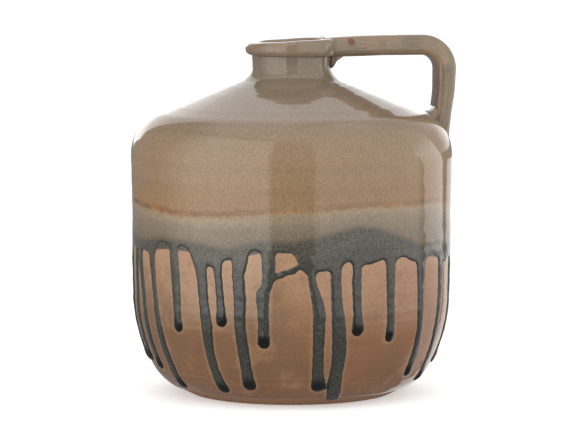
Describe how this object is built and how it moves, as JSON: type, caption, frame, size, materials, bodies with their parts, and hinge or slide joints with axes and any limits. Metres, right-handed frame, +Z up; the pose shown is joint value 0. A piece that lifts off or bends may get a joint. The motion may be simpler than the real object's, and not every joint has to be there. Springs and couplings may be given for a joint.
{
  "type": "stoneware vase",
  "caption": "Jug-shaped stoneware vase with a strap handle, a rolled rim and dark glaze runs over a clear-glazed lower body.",
  "frame": {"origin": "centre of the foot on the table, on the pot's axis", "axes": "+Z up through the mouth, +X towards the handle, -Y to the front"},
  "size_m": [0.1818, 0.1792, 0.1994],
  "materials": {
    "bare_clay": "matte",
    "clear_glaze": "gloss",
    "tan_glaze": "gloss",
    "grey_glaze": "gloss",
    "dark_glaze": "gloss",
    "liner_glaze": "gloss"
  },
  "bodies": {
    "root": {"stoneware_body": "bare_clay", "rim_bead": "tan_glaze", "strap_handle": "tan_glaze", "handle_rim_joint": "tan_glaze", "handle_shoulder_joint": "tan_glaze", "liner_glaze": "liner_glaze", "clear_glaze": "clear_glaze", "tan_glaze": "tan_glaze", "grey_glaze_band": "grey_glaze", "dark_glaze_band": "dark_glaze", "glaze_run_01": "dark_glaze", "glaze_run_02": "dark_glaze", "glaze_run_03": "dark_glaze", "glaze_run_04": "dark_glaze", "glaze_run_05": "dark_glaze", "glaze_run_06": "dark_glaze", "glaze_run_07": "dark_glaze", "glaze_run_08": "dark_glaze", "glaze_run_09": "dark_glaze", "glaze_run_10": "dark_glaze", "glaze_run_11": "dark_glaze", "glaze_run_12": "dark_glaze", "glaze_run_13": "dark_glaze", "glaze_run_14": "dark_glaze", "glaze_run_15": "dark_glaze", "glaze_run_16": "dark_glaze", "glaze_run_17": "dark_glaze", "glaze_run_18": "dark_glaze", "glaze_run_19": "dark_glaze", "glaze_run_20": "dark_glaze", "glaze_run_21": "dark_glaze", "glaze_run_22": "dark_glaze", "glaze_run_23": "dark_glaze", "glaze_run_24": "dark_glaze", "glaze_run_25": "dark_glaze", "glaze_run_26": "dark_glaze", "glaze_run_27": "dark_glaze", "glaze_run_28": "dark_glaze", "glaze_run_29": "dark_glaze", "glaze_run_30": "dark_glaze", "glaze_run_31": "dark_glaze"}
  },
  "joints": []
}
